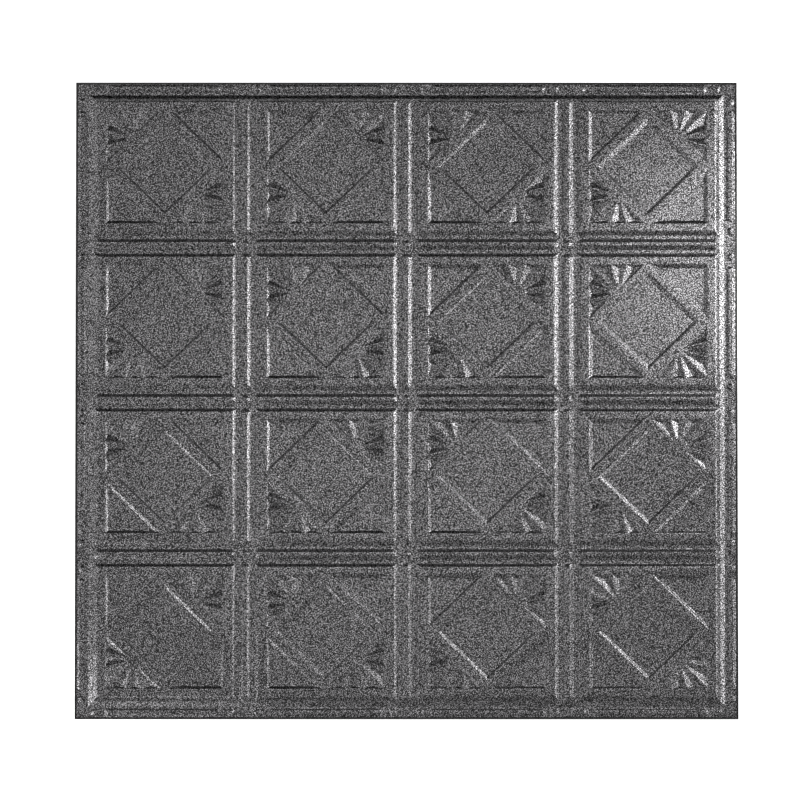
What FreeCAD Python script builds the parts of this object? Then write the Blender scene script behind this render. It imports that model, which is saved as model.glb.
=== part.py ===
import FreeCAD, Part
import math
import os

# Pressed metal ceiling tile: one sheet, lying flat with its face up.
# Origin: middle of the flange underside. X to the right, Y to the far edge, Z up. Millimetres.

doc = FreeCAD.newDocument("pressed_ceiling_tile")

# Every size of the tile, one row each.
sheet = doc.addObject("Spreadsheet::Sheet", "sizes")
SIZES = [
    ("module_side", 609.6, "lay-up module, bead line to bead line"),
    ("sheet_gauge", 0.3, "thickness of the sheet, measured upright"),
    ("panel_pitch", 151.5, "one panel of the four by four grid"),
    ("ledge_width", 0.4, "groove floor left outside the outermost panels"),
    ("plateau_rise", 2.3, "step from flange to groove floor"),
    ("plateau_run", 4.4, "width of the sloped step"),
    ("panel_side", 126.6, "flat top of one raised panel"),
    ("panel_rise", 3.0, "panel top over groove floor"),
    ("panel_run", 3.5, "width of the slope round a panel"),
    ("ridge_top", 3.4, "flat top of the ridge between two panels"),
    ("ridge_foot", 10.4, "foot of the ridge between two panels"),
    ("stud_top", 3.0, "top of the stud where grooves cross"),
    ("stud_foot", 8.0, "foot of the stud where grooves cross"),
    ("stud_rise", 2.0, "stud over groove floor"),
    ("recess_depth", 2.7, "sunk corners and sunk diamond below the panel top"),
    ("corner_side", 111.0, "square that the four sunk corners fill, at the panel top"),
    ("corner_run", 2.8, "width of the slope along a sunk corner's legs"),
    ("frame_reach", 58.7, "raised diamond frame, middle to tip, at the panel top"),
    ("frame_spread", 3.9, "how much further that tip reaches at the sunk floor"),
    ("diamond_reach", 46.8, "sunk diamond, middle to tip, at the panel top"),
    ("diamond_spread", 3.7, "how much shorter that tip is at the sunk floor"),
    ("hub_offset", 27.8, "fan hub from the panel middle, along X and along Y"),
    ("hub_top", 17.1, "fan hub across its flats at the panel top"),
    ("hub_foot", 23.0, "fan hub across its flats at the sunk floor"),
    ("flute_count", 6, "flutes in one half-round fan"),
    ("flute_slope", 0.42, "fall of a flute's side for each millimetre across"),
    ("crest_width", 1.0, "flat crest between two flutes"),
    ("bead_inset", 6.35, "outer edge of the flange beyond the bead line"),
    ("bead_rise", 1.6, "nailing beads over the flange"),
    ("bead_length", 108.6, "one long bead over its foot"),
    ("bead_foot", 8.0, "foot width of a long bead"),
    ("bead_top", 3.6, "flat top of a long bead"),
    ("button_foot", 7.2, "foot of a nailing button"),
    ("button_top", 2.8, "flat top of a nailing button"),
    ("button_offset", 12.7, "button middle from the end of its quarter of the bead line"),
]
for number, (alias, value, note) in enumerate(SIZES, start=1):
    sheet.set("A%d" % number, str(value))
    sheet.setAlias("A%d" % number, alias)
    sheet.set("B%d" % number, note)
doc.recompute()

# Heights and places that several features share.
FLANGE_TOP = "sizes.sheet_gauge"
GROOVE_FLOOR = "(sizes.sheet_gauge + sizes.plateau_rise)"
PANEL_TOP = "(sizes.sheet_gauge + sizes.plateau_rise + sizes.panel_rise)"
RECESS_FLOOR = "(sizes.sheet_gauge + sizes.plateau_rise + sizes.panel_rise - sizes.recess_depth)"
PITCH = "sizes.panel_pitch"
PANEL_MIDDLE = "sizes.panel_pitch / 2"
TILE_MIDDLE = "0"
OVERALL_HALF = "(sizes.module_side / 2 + sizes.bead_inset)"
BEAD_LINE = "sizes.module_side / 2"
RAIL_PITCH = "sizes.module_side / 4"
RAIL_MIDDLE = "sizes.module_side / 8"
PANEL_TOP_HALF = "sizes.panel_side / 2"
PANEL_FOOT_HALF = "(sizes.panel_side / 2 + sizes.panel_run)"
BELOW = "6"
UP = FreeCAD.Vector(0, 0, 1)
UPRIGHT = FreeCAD.Rotation(FreeCAD.Vector(1, 0, 0), 90)


def size(alias):
    return float(sheet.get(alias))


def bind(thing, **links):
    for name, formula in links.items():
        thing.setExpression(name, formula)


def place(thing, along_x, along_y, height):
    thing.setExpression("Placement.Base.x", along_x)
    thing.setExpression("Placement.Base.y", along_y)
    thing.setExpression("Placement.Base.z", height)
    return thing


def frustum(name, foot_x, foot_y, top_x, top_y, rise, turn=0):
    """Four-sided frustum standing on its foot, by half widths along X and Y."""
    thing = doc.addObject("Part::Wedge", name)
    thing.Placement.Rotation = FreeCAD.Rotation(UP, turn).multiply(UPRIGHT)
    bind(thing, Ymin="0", Ymax=rise)
    bind(thing, Xmin="-(%s)" % foot_x, Xmax=foot_x, Zmin="-(%s)" % foot_y, Zmax=foot_y)
    bind(thing, X2min="-(%s)" % top_x, X2max=top_x, Z2min="-(%s)" % top_y, Z2max=top_y)
    return thing


def knob(name, squares, foot, top, rise, along_x, along_y, height):
    """Many-sided frustum, sized across its flats: square frustums turned evenly, and what they share."""
    turned = []
    for number in range(squares):
        half = (foot + " / 2", top + " / 2")
        part = frustum(name + "_square", half[0], half[0], half[1], half[1], rise, turn=90 / squares * number)
        turned.append(place(part, along_x, along_y, height))
    thing = doc.addObject("Part::MultiCommon", name)
    thing.Shapes = turned
    thing.Refine = True
    return thing


def bar(name, lengthwise, half_length, foot, top, rise, along_x, along_y, height):
    """Long frustum along X or Y with many-sided rounded ends."""
    straight = "(%s - %s / 2)" % (half_length, foot)
    across = (foot + " / 2", top + " / 2")
    along = (straight, straight)
    in_x, in_y = (along, across) if lengthwise == "x" else (across, along)
    middle = frustum(name + "_middle", in_x[0], in_y[0], in_x[1], in_y[1], rise)
    place(middle, along_x, along_y, height)
    ends = []
    for sign in ("-", "+"):
        end_x = "%s %s %s" % (along_x, sign, straight) if lengthwise == "x" else along_x
        end_y = "%s %s %s" % (along_y, sign, straight) if lengthwise == "y" else along_y
        ends.append(knob(name + "_end", 2, foot, top, rise, end_x, end_y, height))
    thing = doc.addObject("Part::MultiFuse", name)
    thing.Shapes = [middle] + ends
    thing.Refine = True
    return thing


def group(name, parts):
    thing = doc.addObject("Part::Compound", name)
    thing.Links = parts
    return thing


def cut(name, base, tool):
    thing = doc.addObject("Part::Cut", name)
    thing.Base = base
    thing.Tool = tool
    return thing


def repeat(part, *planes):
    """The part and its mirror images, doubled again at each upright plane."""
    for across, at in planes:
        image = doc.addObject("Part::Mirroring", part.Name + "_image")
        image.Source = part
        image.Normal = FreeCAD.Vector(1, 0, 0) if across == "x" else FreeCAD.Vector(0, 1, 0)
        image.setExpression("Base." + across, at)
        part = group(part.Name + "_pair", [part, image])
    return part


NEXT_X, NEXT_Y = ("x", PITCH), ("y", PITCH)
OTHER_X, OTHER_Y = ("x", TILE_MIDDLE), ("y", TILE_MIDDLE)

# Flange, and the step that lifts the grid off it.
flange = doc.addObject("Part::Box", "flange")
bind(flange, Length="2 * " + OVERALL_HALF, Width="2 * " + OVERALL_HALF, Height=FLANGE_TOP + " + " + BELOW)
place(flange, "-" + OVERALL_HALF, "-" + OVERALL_HALF, "-" + BELOW)
step_top = "(1.5 * %s + %s + sizes.ledge_width)" % (PITCH, PANEL_FOOT_HALF)
step_foot = "(%s + sizes.plateau_run)" % step_top
plateau = frustum("plateau", step_foot, step_foot, step_top, step_top, "sizes.plateau_rise")
place(plateau, TILE_MIDDLE, TILE_MIDDLE, FLANGE_TOP)

# One raised panel; the grooves are what is left between panels.
panel = frustum("panel", PANEL_FOOT_HALF, PANEL_FOOT_HALF, PANEL_TOP_HALF, PANEL_TOP_HALF, "sizes.panel_rise")
place(panel, PANEL_MIDDLE, PANEL_MIDDLE, GROOVE_FLOOR)


# One ridge in each groove, as long and as high as the panels beside it.
def ridge(name, lengthwise, along_x, along_y):
    return bar(name, lengthwise, PANEL_FOOT_HALF, "sizes.ridge_foot", "sizes.ridge_top", "sizes.panel_rise",
               along_x, along_y, GROOVE_FLOOR)


ridges = [
    repeat(ridge("ridge_off_y", "y", PITCH, PANEL_MIDDLE), NEXT_Y, OTHER_X, OTHER_Y),
    repeat(ridge("ridge_mid_y", "y", TILE_MIDDLE, PANEL_MIDDLE), NEXT_Y, OTHER_Y),
    repeat(ridge("ridge_off_x", "x", PANEL_MIDDLE, PITCH), NEXT_X, OTHER_X, OTHER_Y),
    repeat(ridge("ridge_mid_x", "x", PANEL_MIDDLE, TILE_MIDDLE), NEXT_X, OTHER_X),
]


# A stud wherever two grooves cross.
def stud(name, along_x, along_y):
    return knob(name, 2, "sizes.stud_foot", "sizes.stud_top", "sizes.stud_rise",
                along_x, along_y, GROOVE_FLOOR)


studs = [
    stud("stud_middle", TILE_MIDDLE, TILE_MIDDLE),
    repeat(stud("stud_x", PITCH, TILE_MIDDLE), OTHER_X),
    repeat(stud("stud_y", TILE_MIDDLE, PITCH), OTHER_Y),
    repeat(stud("stud_xy", PITCH, PITCH), OTHER_X, OTHER_Y),
]

# Nailing rail on the flange: in each quarter of the bead line a long bead with a button at either end.
bead = bar("bead", "x", "sizes.bead_length / 2", "sizes.bead_foot", "sizes.bead_top", "sizes.bead_rise",
           RAIL_MIDDLE, BEAD_LINE, FLANGE_TOP)
buttons = []
for at in ("sizes.button_offset", RAIL_PITCH + " - sizes.button_offset"):
    buttons.append(knob("button", 2, "sizes.button_foot", "sizes.button_top", "sizes.bead_rise",
                        at, BEAD_LINE, FLANGE_TOP))
rail = repeat(group("rail", [bead] + buttons), ("x", RAIL_PITCH), OTHER_X, OTHER_Y)
side_rail = group("side_rail", [rail])
side_rail.Placement.Rotation = FreeCAD.Rotation(UP, 90)

# Sunk diamond and sunk corners of one panel.
diamond_top = "sizes.diamond_reach / sqrt(2)"
diamond_floor = "(sizes.diamond_reach - sizes.diamond_spread) / sqrt(2)"
diamond = frustum("diamond", diamond_floor, diamond_floor, diamond_top, diamond_top,
                  "sizes.recess_depth", turn=45)
place(diamond, PANEL_MIDDLE, PANEL_MIDDLE, RECESS_FLOOR)
square_top = "sizes.corner_side / 2"
square_floor = "(sizes.corner_side / 2 - sizes.corner_run)"
square = frustum("square", square_floor, square_floor, square_top, square_top, "sizes.recess_depth")
place(square, PANEL_MIDDLE, PANEL_MIDDLE, RECESS_FLOOR)
frame_top = "sizes.frame_reach / sqrt(2)"
frame_foot = "(sizes.frame_reach + sizes.frame_spread) / sqrt(2)"
frame = frustum("frame", frame_foot, frame_foot, frame_top, frame_top, "sizes.recess_depth", turn=45)
place(frame, PANEL_MIDDLE, PANEL_MIDDLE, RECESS_FLOOR)
corners = cut("corners", square, frame)

# Two opposite corners carry fans, the other two stay plain.
fan_quarters = []
for at in (PANEL_MIDDLE, TILE_MIDDLE):
    quarter = doc.addObject("Part::Box", "fan_quarter")
    bind(quarter, Length=PANEL_MIDDLE, Width=PANEL_MIDDLE, Height=PANEL_TOP + " + " + BELOW)
    fan_quarters.append(place(quarter, at, at, TILE_MIDDLE))
plain_corners = cut("plain_corners", corners, group("fan_quarters", fan_quarters))


# A fan is a half circle of V flutes that start at the hub and fall outward.
def flutes():
    spread = math.radians(180 / size("flute_count"))
    reach = size("panel_pitch") / 2
    start = size("crest_width") / 2 / math.sin(spread / 2)
    half_width = (reach - start) * math.tan(spread / 2)
    tip = FreeCAD.Vector(start, 0, 0)
    left = FreeCAD.Vector(reach, half_width, 0)
    right = FreeCAD.Vector(reach, -half_width, 0)
    valley = FreeCAD.Vector(reach, 0, -half_width * size("flute_slope"))
    sides = []
    for loop in ((tip, left, right), (tip, right, valley), (tip, valley, left), (left, valley, right)):
        sides.append(Part.Face(Part.makePolygon(list(loop) + [loop[0]])))
    flute = Part.makeSolid(Part.makeShell(sides))
    fan = []
    for number in range(int(size("flute_count"))):
        turned = flute.copy()
        turned.rotate(FreeCAD.Vector(), UP, -45 + math.degrees(spread) * (number + 0.5))
        fan.append(turned)
    return Part.makeCompound(fan)


fluting = []
hubs = []
for sign, turn in (("+", 0), ("-", 180)):
    at = "%s %s sizes.hub_offset" % (PANEL_MIDDLE, sign)
    half_round = doc.addObject("Part::Feature", "half_round")
    half_round.Shape = flutes()
    half_round.Placement.Rotation = FreeCAD.Rotation(UP, turn)
    fluting.append(place(half_round, at, at, PANEL_TOP))
    hubs.append(knob("hub", int(size("flute_count")) // 2, "sizes.hub_foot", "sizes.hub_top",
                     "sizes.recess_depth", at, at, RECESS_FLOOR))
fluted_corners = doc.addObject("Part::MultiCommon", "fluted_corners")
fluted_corners.Shapes = [corners, group("fluting", fluting)]
fans = cut("fans", fluted_corners, group("hubs", hubs))

pressed_panel = cut("pressed_panel", panel, group("sunk", [diamond, plain_corners, fans]))
panels = repeat(pressed_panel, NEXT_X, NEXT_Y, OTHER_X, OTHER_Y)
relief = doc.addObject("Part::MultiFuse", "relief")
relief.Shapes = [flange, plateau, panels, rail, side_rail] + ridges + studs
doc.recompute()


# The sheet has the relief as its face, the same relief one gauge lower as its back, and a cut edge between.
def pressed_sheet():
    drop = FreeCAD.Vector(0, 0, -size("sheet_gauge"))
    face = [part for part in relief.Shape.Faces if part.BoundBox.ZMin > 0]
    back = [part.translated(drop).reversed() for part in face]
    half = size("module_side") / 2 + size("bead_inset")
    corners_xy = ((-half, -half), (half, -half), (half, half), (-half, half))
    rim = [FreeCAD.Vector(x, y, size("sheet_gauge")) for x, y in corners_xy]
    edge = []
    for start, end in zip(rim, rim[1:] + rim[:1]):
        loop = [start, start + drop, end + drop, end, start]
        edge.append(Part.Face(Part.makePolygon(loop)))
    skin = Part.makeShell(face + back + edge)
    skin.sewShape()
    return Part.makeSolid(skin)


tile = doc.addObject("Part::Feature", "pressed_tile")
tile.Label = "pressed_tile"
tile.Shape = pressed_sheet()
tile.Placement = FreeCAD.Placement()

for thing in doc.Objects:
    if "Invalid" in thing.State or "Error" in thing.State:
        raise RuntimeError("%s did not build: %s" % (thing.Label, thing.State))
if tile.Shape.isNull() or not tile.Shape.isValid():
    raise RuntimeError("the tile has no sound shape")

os.makedirs("parts", exist_ok=True)
tile.Shape.exportStep("parts/pressed_tile.step")
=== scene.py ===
import math

import bmesh
import bpy
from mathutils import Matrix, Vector


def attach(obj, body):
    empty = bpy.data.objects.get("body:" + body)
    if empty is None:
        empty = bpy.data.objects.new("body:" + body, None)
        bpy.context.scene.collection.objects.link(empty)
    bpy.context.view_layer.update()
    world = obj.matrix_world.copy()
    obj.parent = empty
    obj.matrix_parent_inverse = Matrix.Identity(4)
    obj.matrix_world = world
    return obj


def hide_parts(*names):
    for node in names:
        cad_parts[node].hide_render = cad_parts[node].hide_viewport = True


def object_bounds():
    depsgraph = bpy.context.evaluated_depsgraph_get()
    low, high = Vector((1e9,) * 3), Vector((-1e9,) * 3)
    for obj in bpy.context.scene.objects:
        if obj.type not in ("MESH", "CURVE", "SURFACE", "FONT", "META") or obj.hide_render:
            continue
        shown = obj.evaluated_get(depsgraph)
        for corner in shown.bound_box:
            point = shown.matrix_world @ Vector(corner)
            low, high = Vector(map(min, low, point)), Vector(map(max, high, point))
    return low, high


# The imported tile, in metres, lying flat with its face up.
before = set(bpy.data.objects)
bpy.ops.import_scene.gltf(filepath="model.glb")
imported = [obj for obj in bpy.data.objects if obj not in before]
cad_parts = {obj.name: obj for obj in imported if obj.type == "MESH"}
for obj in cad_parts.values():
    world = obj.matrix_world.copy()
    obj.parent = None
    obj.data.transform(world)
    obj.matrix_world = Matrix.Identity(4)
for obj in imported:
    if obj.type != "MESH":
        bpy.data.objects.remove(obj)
cad_box = [list(corner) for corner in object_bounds()]
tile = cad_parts["pressed_tile"]

scene = bpy.context.scene
scene.view_settings.view_transform = "Standard"


# Camera: a very long lens, looking steeply down from the near side.
ELEVATION = math.radians(74.0)
FRAME_WIDTH = 0.7517
LENS = 1600.0
SENSOR = 36.0
LOOK_AT = Vector((-0.0061, -0.0007, 0.003))


def long_lens_camera():
    distance = FRAME_WIDTH * LENS / SENSOR
    toward_camera = Vector((0.0, -math.cos(ELEVATION), math.sin(ELEVATION)))
    lens = bpy.data.cameras.new("camera")
    lens.lens = LENS
    lens.sensor_width = SENSOR
    lens.clip_end = 2 * distance
    camera = bpy.data.objects.new("camera", lens)
    camera.location = LOOK_AT + distance * toward_camera
    camera.rotation_euler = (math.pi / 2 - ELEVATION, 0.0, 0.0)
    scene.collection.objects.link(camera)
    return camera


scene.camera = long_lens_camera()


# Pressed edges: rounded wide on the shoulders and tight at the foot, and less where an edge beside leaves
# little room. The cut edge of the sheet, which stands upright, stays sharp.
SHOULDER = 0.0015
FOOT = 0.0007
ROOM_SHARE = 0.30
ROUNDING_STEPS = 2
LEAST_BEND = math.radians(8)
UPRIGHT = 0.1
WELD = 0.00001


def room_beside(edge, corner, other):
    along = edge.other_vert(corner).co - corner.co
    beside = other.other_vert(corner).co - corner.co
    opening = min(along.angle(beside), math.pi / 2)
    return ROOM_SHARE * beside.length * math.sin(opening)


def press_radius(edge):
    bend = edge.calc_face_angle_signed(0.0)
    facing = [face.normal.z for face in edge.link_faces]
    if abs(bend) < LEAST_BEND or min(abs(z) for z in facing) < UPRIGHT:
        return 0.0
    raised = (bend > 0) == (sum(facing) > 0)
    room = min(
        room_beside(edge, corner, other)
        for corner in edge.verts
        for other in corner.link_edges
        if other is not edge
    )
    return min(SHOULDER if raised else FOOT, room)


def weighted_mesh(node):
    mesh = node.data.copy()
    work = bmesh.new()
    work.from_mesh(mesh)
    bmesh.ops.remove_doubles(work, verts=work.verts, dist=WELD)
    work.normal_update()
    weight = work.edges.layers.float.new("bevel_weight_edge")
    for edge in work.edges:
        edge[weight] = press_radius(edge) / SHOULDER
    for face in work.faces:
        face.smooth = True
    work.to_mesh(mesh)
    work.free()
    return mesh


def pressed_copy(node, name):
    piece = bpy.data.objects.new(name, weighted_mesh(node))
    piece.matrix_world = node.matrix_world.copy()
    scene.collection.objects.link(piece)
    bevel = piece.modifiers.new("press radius", "BEVEL")
    bevel.limit_method = "WEIGHT"
    bevel.width = SHOULDER
    bevel.segments = ROUNDING_STEPS
    bevel.use_clamp_overlap = False
    bevel.miter_outer = "MITER_SHARP"
    piece.modifiers.new("flat faces", "WEIGHTED_NORMAL")
    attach(piece, "root")
    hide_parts(node.name)
    return piece


pressed = pressed_copy(tile, "pressed_sheet")


# Finish: dark hammered metal under a clear coat, bright flecks between dark veins less than a millimetre
# apart.
# The flecks lean, so that no flat face lies along the grid of the noise. Painted shade darkens the outer
# edge.
METAL_ROUGHNESS = 0.3
COAT_ROUGHNESS = 0.25
COAT_IOR = 1.4
FLECK_SIZE = 0.0008
FLECK_LEAN = (0.6, 0.4, 0.3)
FLECK_COLOUR = (0.43, 0.42, 0.435, 1.0)
# The vein colour also serves as the colour of the painted shade along the outer edge.
VEIN_AND_EDGE_SHADE_COLOUR = (0.005, 0.005, 0.005, 1.0)
FLECK_EDGES = (0.57, 0.62)
DENT_DEPTH = 0.00006
HALF_WIDTH = cad_box[1][0]
# Width and blur of the painted shade band along the outer edge of the sheet.
EDGE_SHADE_WIDTH = 0.002
EDGE_SHADE_BLUR = 0.0005


def fleck_noise(nodes, links, place):
    lean = nodes.new("ShaderNodeMapping")
    lean.inputs["Rotation"].default_value = FLECK_LEAN
    links.new(place.outputs["Object"], lean.inputs["Vector"])
    mottle = nodes.new("ShaderNodeTexNoise")
    mottle.inputs["Scale"].default_value = 1 / FLECK_SIZE
    mottle.inputs["Detail"].default_value = 0.0
    links.new(lean.outputs["Vector"], mottle.inputs["Vector"])
    return mottle


def fleck_tone(nodes, links, mottle):
    tone = nodes.new("ShaderNodeValToRGB")
    vein, fleck = tone.color_ramp.elements
    vein.position, fleck.position = FLECK_EDGES
    vein.color = VEIN_AND_EDGE_SHADE_COLOUR
    fleck.color = FLECK_COLOUR
    links.new(mottle.outputs["Fac"], tone.inputs["Fac"])
    return tone


# Painted shade: a band about 2 mm wide along the sheet's outer edge, darkened in the colour to stand in for
# the shadow line there.
def edge_shade_share(nodes, links, place):
    from_middle = nodes.new("ShaderNodeVectorMath")
    from_middle.operation = "ABSOLUTE"
    links.new(place.outputs["Object"], from_middle.inputs[0])
    sides = nodes.new("ShaderNodeSeparateXYZ")
    links.new(from_middle.outputs["Vector"], sides.inputs["Vector"])
    farther = nodes.new("ShaderNodeMath")
    farther.operation = "MAXIMUM"
    links.new(sides.outputs["X"], farther.inputs[0])
    links.new(sides.outputs["Y"], farther.inputs[1])
    edge_shade = nodes.new("ShaderNodeMapRange")
    edge_shade.inputs["From Min"].default_value = HALF_WIDTH - EDGE_SHADE_WIDTH - EDGE_SHADE_BLUR
    edge_shade.inputs["From Max"].default_value = HALF_WIDTH - EDGE_SHADE_WIDTH + EDGE_SHADE_BLUR
    links.new(farther.outputs["Value"], edge_shade.inputs["Value"])
    return edge_shade


def hammered_metal():
    metal = bpy.data.materials.new("hammered metal")
    metal.use_nodes = True
    nodes, links = metal.node_tree.nodes, metal.node_tree.links
    shader = nodes["Principled BSDF"]
    shader.inputs["Metallic"].default_value = 1.0
    shader.inputs["Roughness"].default_value = METAL_ROUGHNESS
    shader.inputs["Coat Weight"].default_value = 1.0
    shader.inputs["Coat Roughness"].default_value = COAT_ROUGHNESS
    shader.inputs["Coat IOR"].default_value = COAT_IOR
    place = nodes.new("ShaderNodeTexCoord")
    mottle = fleck_noise(nodes, links, place)
    tone = fleck_tone(nodes, links, mottle)
    edge_shade = edge_shade_share(nodes, links, place)
    # Painted edge shadow: the edge band is mixed to the dark colour in the base colour.
    paint_edge_shade = nodes.new("ShaderNodeMix")
    paint_edge_shade.data_type = "RGBA"
    paint_edge_shade.inputs["B"].default_value = VEIN_AND_EDGE_SHADE_COLOUR
    links.new(edge_shade.outputs["Result"], paint_edge_shade.inputs["Factor"])
    links.new(tone.outputs["Color"], paint_edge_shade.inputs["A"])
    links.new(paint_edge_shade.outputs["Result"], shader.inputs["Base Color"])
    dents = nodes.new("ShaderNodeBump")
    dents.inputs["Strength"].default_value = 1.0
    dents.inputs["Distance"].default_value = DENT_DEPTH
    links.new(mottle.outputs["Fac"], dents.inputs["Height"])
    links.new(dents.outputs["Normal"], shader.inputs["Normal"])
    return metal


pressed.data.materials.clear()
pressed.data.materials.append(hammered_metal())


# Floor: just below the tile, pale in the light, with a glow that only the camera and reflections see, so that
# it is white in the picture.
FLOOR_SIZE = 6.0
FLOOR_GAP = 0.0002
FLOOR_COLOUR = (0.8, 0.8, 0.8, 1.0)
FLOOR_GLOW = (0.6, 0.6, 0.6, 1.0)


def white_floor():
    white = bpy.data.materials.new("white floor")
    white.use_nodes = True
    nodes, links = white.node_tree.nodes, white.node_tree.links
    pale = nodes["Principled BSDF"]
    pale.inputs["Base Color"].default_value = FLOOR_COLOUR
    pale.inputs["Roughness"].default_value = 1.0
    pale.inputs["Emission Color"].default_value = FLOOR_GLOW
    ray = nodes.new("ShaderNodeLightPath")
    seen = nodes.new("ShaderNodeMath")
    seen.operation = "MAXIMUM"
    links.new(ray.outputs["Is Camera Ray"], seen.inputs[0])
    links.new(ray.outputs["Is Glossy Ray"], seen.inputs[1])
    also = nodes.new("ShaderNodeMath")
    also.operation = "MAXIMUM"
    links.new(seen.outputs["Value"], also.inputs[0])
    links.new(ray.outputs["Is Transmission Ray"], also.inputs[1])
    links.new(also.outputs["Value"], pale.inputs["Emission Strength"])
    return white


bpy.ops.mesh.primitive_plane_add(size=FLOOR_SIZE, location=(0, 0, -FLOOR_GAP))
floor = bpy.context.object
floor.name = "floor"
floor.data.materials.append(white_floor())


# Room: grey levels by how far a direction points beyond the far edge, from -1 on the near side to 1 on the
# far side. It is brightest high above the far edge and black low down beyond it.
ROOM = ((-0.9, 0.27), (-0.45, 0.44), (0.0, 0.4), (0.3, 0.38), (0.55, 0.9), (0.88, 0.0))
ROOM_LIGHT = 1.6


def room_light():
    world = bpy.data.worlds.new("room")
    world.use_nodes = True
    nodes, links = world.node_tree.nodes, world.node_tree.links
    room = nodes["Background"]
    room.inputs["Strength"].default_value = ROOM_LIGHT
    direction = nodes.new("ShaderNodeTexCoord")
    split = nodes.new("ShaderNodeSeparateXYZ")
    links.new(direction.outputs["Generated"], split.inputs["Vector"])
    far = nodes.new("ShaderNodeMapRange")
    far.inputs["From Min"].default_value = -1.0
    links.new(split.outputs["Y"], far.inputs["Value"])
    tone = nodes.new("ShaderNodeValToRGB")
    stops = tone.color_ramp.elements
    places = [(far_share + 1) / 2 for far_share, _ in ROOM]
    greys = [(level, level, level, 1.0) for _, level in ROOM]
    for place in places[1:-1]:
        stops.new(place)
    for stop, place, grey in zip(stops, places, greys):
        stop.position = place
        stop.color = grey
    links.new(far.outputs["Result"], tone.inputs["Fac"])
    links.new(tone.outputs["Color"], room.inputs["Color"])
    return world


scene.world = room_light()


# Softboxes: the strongest on the right, where the photo's highlights are. The top one shines straight down.
def softbox(name, at, size, radiance, aim=(0.0, 0.0, 0.0)):
    lamp = bpy.data.lights.new(name, "AREA")
    lamp.shape = "RECTANGLE"
    lamp.size, lamp.size_y = size
    lamp.energy = math.pi * size[0] * size[1] * radiance
    box = bpy.data.objects.new(name, lamp)
    box.location = at
    box.rotation_euler = (Vector(aim) - Vector(at)).to_track_quat("-Z", "Y").to_euler()
    scene.collection.objects.link(box)


softbox("top", at=(0.0, 0.2, 0.75), size=(0.42, 0.42), radiance=0.42, aim=(0.0, 0.2, 0.0))
softbox("key", at=(0.48, 0.2, 0.19), size=(0.22, 0.22), radiance=4.2)
softbox("high_key", at=(0.29, 0.22, 0.32), size=(0.2, 0.2), radiance=2.0)
softbox("right", at=(0.48, 0.03, 0.16), size=(0.8, 0.12), radiance=2.5)
softbox("left", at=(-0.48, 0.0, 0.17), size=(0.8, 0.32), radiance=0.4)
softbox("front", at=(-0.23, -0.4, 0.2), size=(0.2, 0.2), radiance=0.7)
softbox("far_right", at=(0.49, 0.42, 0.1), size=(0.18, 0.14), radiance=4.2)
softbox("low_left", at=(-0.43, -0.3, 0.09), size=(0.24, 0.16), radiance=2.2)
